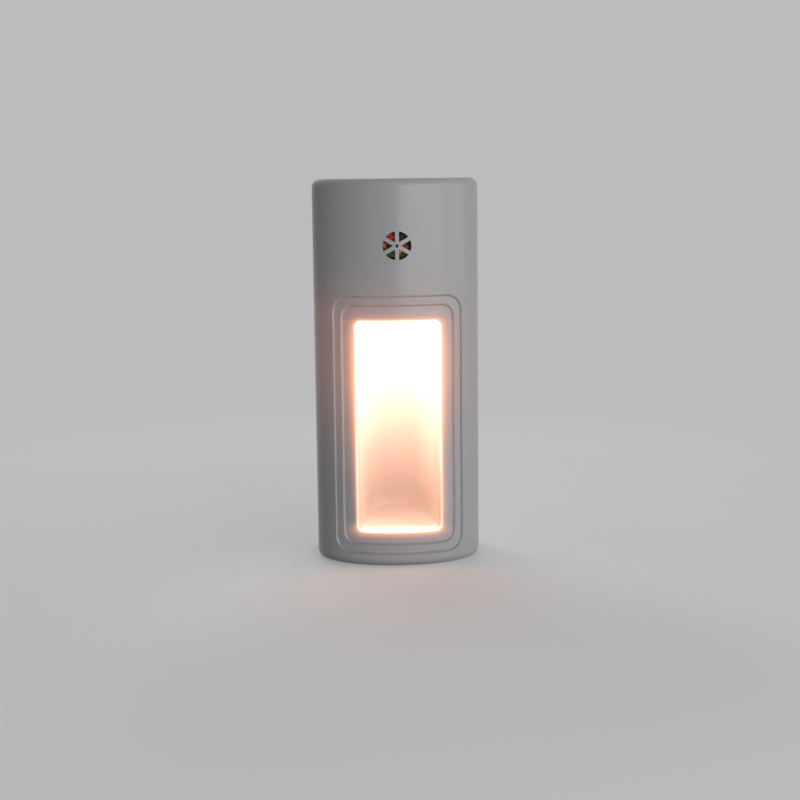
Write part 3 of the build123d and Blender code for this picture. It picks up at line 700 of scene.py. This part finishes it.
def can_sleeve():
    """Shrink sleeve with a pale stripe on the negative side and a bare aluminium top."""
    shader = mottled("can_sleeve", CAN_COLOUR, CAN_ROUGH)
    low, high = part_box("smoothing_capacitor")
    radius = (high.x - low.x) / 2
    x, y, z = shader.axes()
    side = shader.math("SUBTRACT", x, low.x + radius)
    rise = shader.math("SUBTRACT", z, low.z + radius)
    from_axis = shader.length(side, rise)

    def within(distance, shares):
        """1 nearer than these shares of the radius."""
        return shader.step(distance, *(share * radius for share in shares), 1.0, 0.0)

    stripe = shader.times(
        shader.step(side, *(share * radius for share in CAN_STRIPE_X)),
        within(shader.math("ABSOLUTE", rise), CAN_STRIPE_Z),
    )
    top = shader.times(
        shader.step(y, *(low.y + depth for depth in CAN_TOP_Y), 1.0, 0.0),
        within(from_axis, CAN_TOP_R),
    )
    lead = shader.times(
        within(from_axis, CAN_LEAD_R),
        shader.step(y, *(high.y - length for length in CAN_LEAD_Y)),
    )
    bare = shader.math("MAXIMUM", top, lead)
    colour = shader.mix(stripe, shader.colour, CAN_STRIPE)
    shader.set(Base_Color=shader.mix(bare, colour, TINNED), Metallic=bare)
    return shader.material


def led_package():
    """White LED packages with a round of lit phosphor in each."""
    shader = mottled("led_phosphor", LED_WHITE, LED_ROUGH)
    x, _, z = shader.axes()
    side = shader.math("SUBTRACT", shader.math("ABSOLUTE", x), LED_X)
    turns = shader.math("DIVIDE", shader.math("SUBTRACT", z, LED_TOP_Z), LED_PITCH)
    rise = shader.times(shader.math("SUBTRACT", turns, shader.math("ROUND", turns)), LED_PITCH)
    face = shader.step(shader.length(side, rise), *LED_ROUND)
    shader.set(
        Base_Color=shader.mix(face, shader.colour, LED_PHOSPHOR),
        Emission_Color=LED_LIGHT,
        Emission_Strength=shader.times(face, LED_LEVEL),
    )
    return shader.material


def dress_nodes():
    """Gives every CAD node its finish."""
    finishes = {
        "front_cover": cover_plastic(),
        "rear_housing": case_plastic("case_white", HOUSING_ROUGH, HOUSING_DEPTH).material,
        "diffuser_window": lens_milk(),
        "leds": led_package(),
        "main_board": circuit_board(),
        "photocell": cell_face(),
        "film_capacitor": mottled("film_red", FILM_RED, FILM_ROUGH, FILM_GRAIN, FILM_DEPTH).material,
        "smoothing_capacitor": can_sleeve(),
    }
    for name, (colour, rough, along, wearers) in METALS.items():
        finishes.update(dict.fromkeys(wearers, brushed(name, colour, rough, along)))
    for name, (colour, rough, wearers) in MOULDED.items():
        finishes.update(dict.fromkeys(wearers, mottled(name, colour, rough).material))
    for node, look in AXIAL.items():
        finishes[node] = axial_part(node, *look)
    for node, material in finishes.items():
        mesh = nodes[node].data
        mesh.materials.clear()
        mesh.materials.append(material)


# ---------------------------------------------------------------- studio
BACKGROUND = (0.5, 0.5, 0.505)
FLOOR_REACH = 30.0
FLOOR_COLOUR = (0.7, 0.7, 0.705)             # where it is seen directly
FLOOR_BOUNCE = (0.2, 0.2, 0.205)             # for the light that it bounces onto the lamp
FLOOR_LIFT = 0.3                             # glow added to the lit floor where it is seen directly
FLOOR_ROUGH, FLOOR_SPECULAR = 0.75, 0.2
FLOOR_PATCH_SCALE, FLOOR_PATCHES = 9.0, (0.985, 1.0)
FLOOR_FADE = (0.06, 0.3)                     # distance from the lamp where it turns into the background
FILL_COLOUR, FILL = (0.9, 0.93, 1.0), 0.08
LAMPS = (                                    # name, azimuth, elevation, distance, size, radiance, shines
    ("window_light", 16.5, 12, 0.8, 0.36, 0.5, 2.2, True),
    ("window_edge", 38, 12, 0.8, 0.26, 0.5, 1.7, True),
    ("room_light", 65, 16, 0.8, 0.7, 0.6, 0.75, True),
    ("back_light", -170, 30, 0.9, 0.9, 0.5, 2.9, False),
)


def seen_directly(tree):
    """1 for rays that show the background: from the camera, off gloss or through glass."""
    path = tree.nodes.new("ShaderNodeLightPath")
    seen = path.outputs["Is Camera Ray"]
    for name in ("Is Glossy Ray", "Is Transmission Ray"):
        either = tree.nodes.new("ShaderNodeMath")
        either.operation = "MAXIMUM"
        tree.links.new(seen, either.inputs[0])
        tree.links.new(path.outputs[name], either.inputs[1])
        seen = either.outputs[0]
    return seen


def floor_paint():
    """Pale paint that turns into the background before the floor's horizon."""
    shader = Shader("floor_paint")
    seen = seen_directly(shader.tree)
    patch = shader.step(shader.noise(FLOOR_PATCH_SCALE, 3.0), *NOISE_MID, *FLOOR_PATCHES)
    colour = shader.tint(shader.mix(seen, FLOOR_BOUNCE, FLOOR_COLOUR), patch)
    shader.set(
        Base_Color=colour,
        Roughness=FLOOR_ROUGH,
        Specular_IOR_Level=FLOOR_SPECULAR,
        Emission_Color=colour,
        Emission_Strength=shader.times(seen, FLOOR_LIFT),
    )
    x, y, _ = shader.axes()
    horizon = shader.new("ShaderNodeEmission")
    shader.put(horizon.inputs["Color"], BACKGROUND)
    blend = shader.new("ShaderNodeMixShader")
    shader.put(blend.inputs[0], shader.times(shader.step(shader.length(x, y), *FLOOR_FADE), seen))
    shader.put(blend.inputs[1], shader.bsdf.outputs[0])
    shader.put(blend.inputs[2], horizon.outputs[0])
    shader.put(shader.out.inputs["Surface"], blend.outputs[0])
    return shader.material


def make_floor():
    """A level floor under the lamp."""
    quarters = ((-1, -1), (1, -1), (1, 1), (-1, 1))
    corners = [(x * FLOOR_REACH, y * FLOOR_REACH, BASE_Z) for x, y in quarters]
    mesh = bpy.data.meshes.new("floor")
    mesh.from_pydata(corners, [], [(0, 1, 2, 3)])
    mesh.materials.append(floor_paint())
    floor = bpy.data.objects.new("floor", mesh)
    bpy.context.scene.collection.objects.link(floor)


def make_world():
    """A faint cool fill, with the plain background for rays that see it directly."""
    world = bpy.data.worlds.new("world")
    bpy.context.scene.world = world
    world.use_nodes = True
    tree = world.node_tree
    tree.nodes.clear()
    out = tree.nodes.new("ShaderNodeOutputWorld")
    blend = tree.nodes.new("ShaderNodeMixShader")
    for index, (colour, strength) in enumerate(((FILL_COLOUR, FILL), (BACKGROUND, 1.0))):
        background = tree.nodes.new("ShaderNodeBackground")
        background.inputs["Color"].default_value = (*colour, 1.0)
        background.inputs["Strength"].default_value = strength
        tree.links.new(background.outputs[0], blend.inputs[1 + index])
    tree.links.new(seen_directly(tree), blend.inputs[0])
    tree.links.new(blend.outputs[0], out.inputs["Surface"])


def soft_box(name, azimuth, elevation, distance, width, height, radiance, shines):
    """A rectangular lamp that looks at the case; azimuth 0 is straight ahead of the lit front.

    The angles are in degrees, and gloss reflects only a lamp that shines.
    """
    data = bpy.data.lights.new(name, "AREA")
    data.shape = "RECTANGLE"
    data.size = width
    data.size_y = height
    data.energy = radiance * pi * width * height
    lamp = bpy.data.objects.new(name, data)
    bpy.context.scene.collection.objects.link(lamp)
    lamp.visible_glossy = shines
    turn, rise = radians(azimuth), radians(elevation)
    target = Vector((0, FRONT_Y / 2, (BASE_Z + TOP_Z) / 2))
    lamp.location = target + distance * Vector((sin(turn) * cos(rise), -cos(turn) * cos(rise), sin(rise)))
    lamp.rotation_euler = (target - lamp.location).to_track_quat("-Z", "Y").to_euler()
    lamp.visible_camera = False


# ---------------------------------------------------------------- make the scene
make_camera()
dress_nodes()
cell_track()
make_floor()
make_world()
for lamp in LAMPS:
    soft_box(*lamp)
bpy.context.scene.view_settings.view_transform = "Standard"
